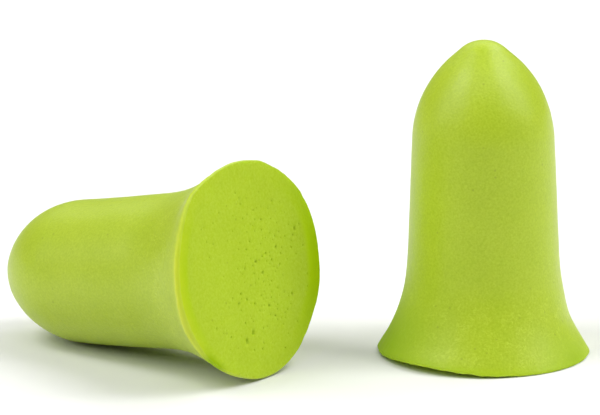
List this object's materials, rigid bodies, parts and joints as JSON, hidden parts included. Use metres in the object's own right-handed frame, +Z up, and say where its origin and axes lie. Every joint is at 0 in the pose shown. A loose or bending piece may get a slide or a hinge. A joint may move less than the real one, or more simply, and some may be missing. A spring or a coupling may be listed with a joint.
{
  "type": "foam ear plugs",
  "caption": "Bell-shaped soft foam ear plugs with a rounded nose, a tapered barrel and a flared, flat-cut base.",
  "frame": {"origin": "centre of the standing plug's flat base, on the surface that both plugs rest on", "axes": "+Z up along the standing plug's axis, +X from the lying plug towards the standing plug, +Y away from the lying plug's cut face"},
  "size_m": [0.0432, 0.0219, 0.0234],
  "materials": {
    "green_foam": "matte"
  },
  "bodies": {
    "standing_plug": {"standing_plug": "green_foam"},
    "lying_plug": {"lying_plug": "green_foam"}
  },
  "joints": [
    {"name": "lying_plug_lift", "type": "slide", "parent": "standing_plug", "child": "lying_plug", "axis": [0, 0, 1], "range_m": [0, 0.03]}
  ]
}
